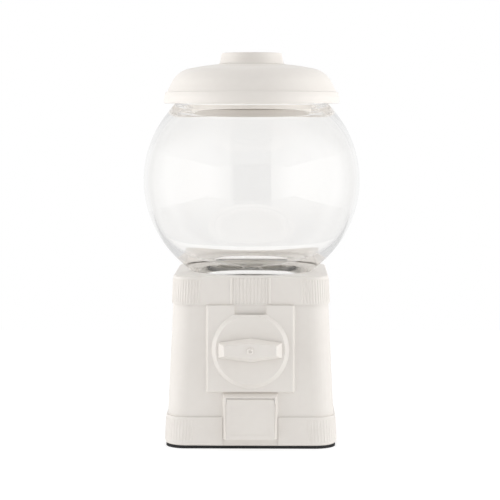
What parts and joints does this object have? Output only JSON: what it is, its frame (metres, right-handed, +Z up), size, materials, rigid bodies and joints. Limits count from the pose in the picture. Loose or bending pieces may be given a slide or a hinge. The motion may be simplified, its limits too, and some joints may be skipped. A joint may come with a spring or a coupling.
{
  "type": "gumball machine",
  "caption": "Tabletop gumball machine: tapered square base with turn handle and flap spout, clear glass globe and domed lift-off lid.",
  "frame": {"origin": "on the floor under the middle of the globe and base, on the underside of the pad", "axes": "+Z up along the globe's axis, +X to the right seen from the front, the front faces -Y"},
  "size_m": [0.2162, 0.2162, 0.3826],
  "materials": {
    "ivory_paint": "smooth ivory gloss enamel",
    "clear_glass": "clear polished glass",
    "black_rubber": "matte black rubber",
    "white_rubber": "matte off-white rubber",
    "white_plastic": "moulded plastic",
    "steel": "plain steel",
    "brass": "plain brass"
  },
  "bodies": {
    "base": {"ball_guard": "steel", "base_pad": "black_rubber", "base_plate": "steel", "base_plate_screws": "steel", "chute": "white_plastic", "chute_screws": "steel", "chute_spout": "ivory_paint", "click_spring": "steel", "click_spring_screw": "steel", "door_pin": "steel", "faceplate": "ivory_paint", "faceplate_screws": "steel", "front_bush": "brass", "globe_gasket": "white_rubber", "guard_rivets": "steel", "hopper": "white_plastic", "hopper_screws": "steel", "housing": "ivory_paint", "pivot_nut": "steel", "rear_bush": "brass", "wheel_pivot": "steel", "wheel_washer": "steel"},
    "globe": {"globe": "clear_glass"},
    "lid": {"lid": "ivory_paint", "lid_knob": "ivory_paint", "lid_screw": "steel", "lid_washer": "steel"},
    "handle": {"turn_handle": "ivory_paint", "handle_screw": "steel", "drive_shaft": "steel", "coin_wheel": "steel", "ratchet_wheel": "steel", "drive_pinion": "brass", "shaft_clip": "steel"},
    "wheel": {"gumball_wheel": "white_plastic"},
    "door": {"chute_door": "ivory_paint"},
    "plug": {"coin_plug": "black_rubber"}
  },
  "joints": [
    {"name": "globe_lift", "type": "slide", "parent": "base", "child": "globe", "axis": [0, 0, 1], "range_m": [0, 0.05]},
    {"name": "lid_lift", "type": "slide", "parent": "globe", "child": "lid", "axis": [0, 0, 1], "range_m": [0, 0.06]},
    {"name": "handle_turn", "type": "hinge", "parent": "base", "child": "handle", "pos_m": [0, -0.0777, 0.0959], "axis": [0, -0.9989, 0.0465], "continuous": true, "deforming": ["click_spring"]},
    {"name": "wheel_turn", "type": "hinge", "parent": "base", "child": "wheel", "pos_m": [0, 0, 0.115], "axis": [0, 0, 1], "continuous": true},
    {"name": "door_swing", "type": "hinge", "parent": "base", "child": "door", "pos_m": [0, -0.08456, 0.04672], "axis": [-1, 0, 0], "range_deg": [0, 80]},
    {"name": "plug_pull", "type": "slide", "parent": "base", "child": "plug", "axis": [0, 0, -1], "range_m": [0, 0.02]}
  ],
  "couplings": [
    {"joint": "wheel_turn", "follows": "handle_turn", "ratio": -0.25}
  ]
}
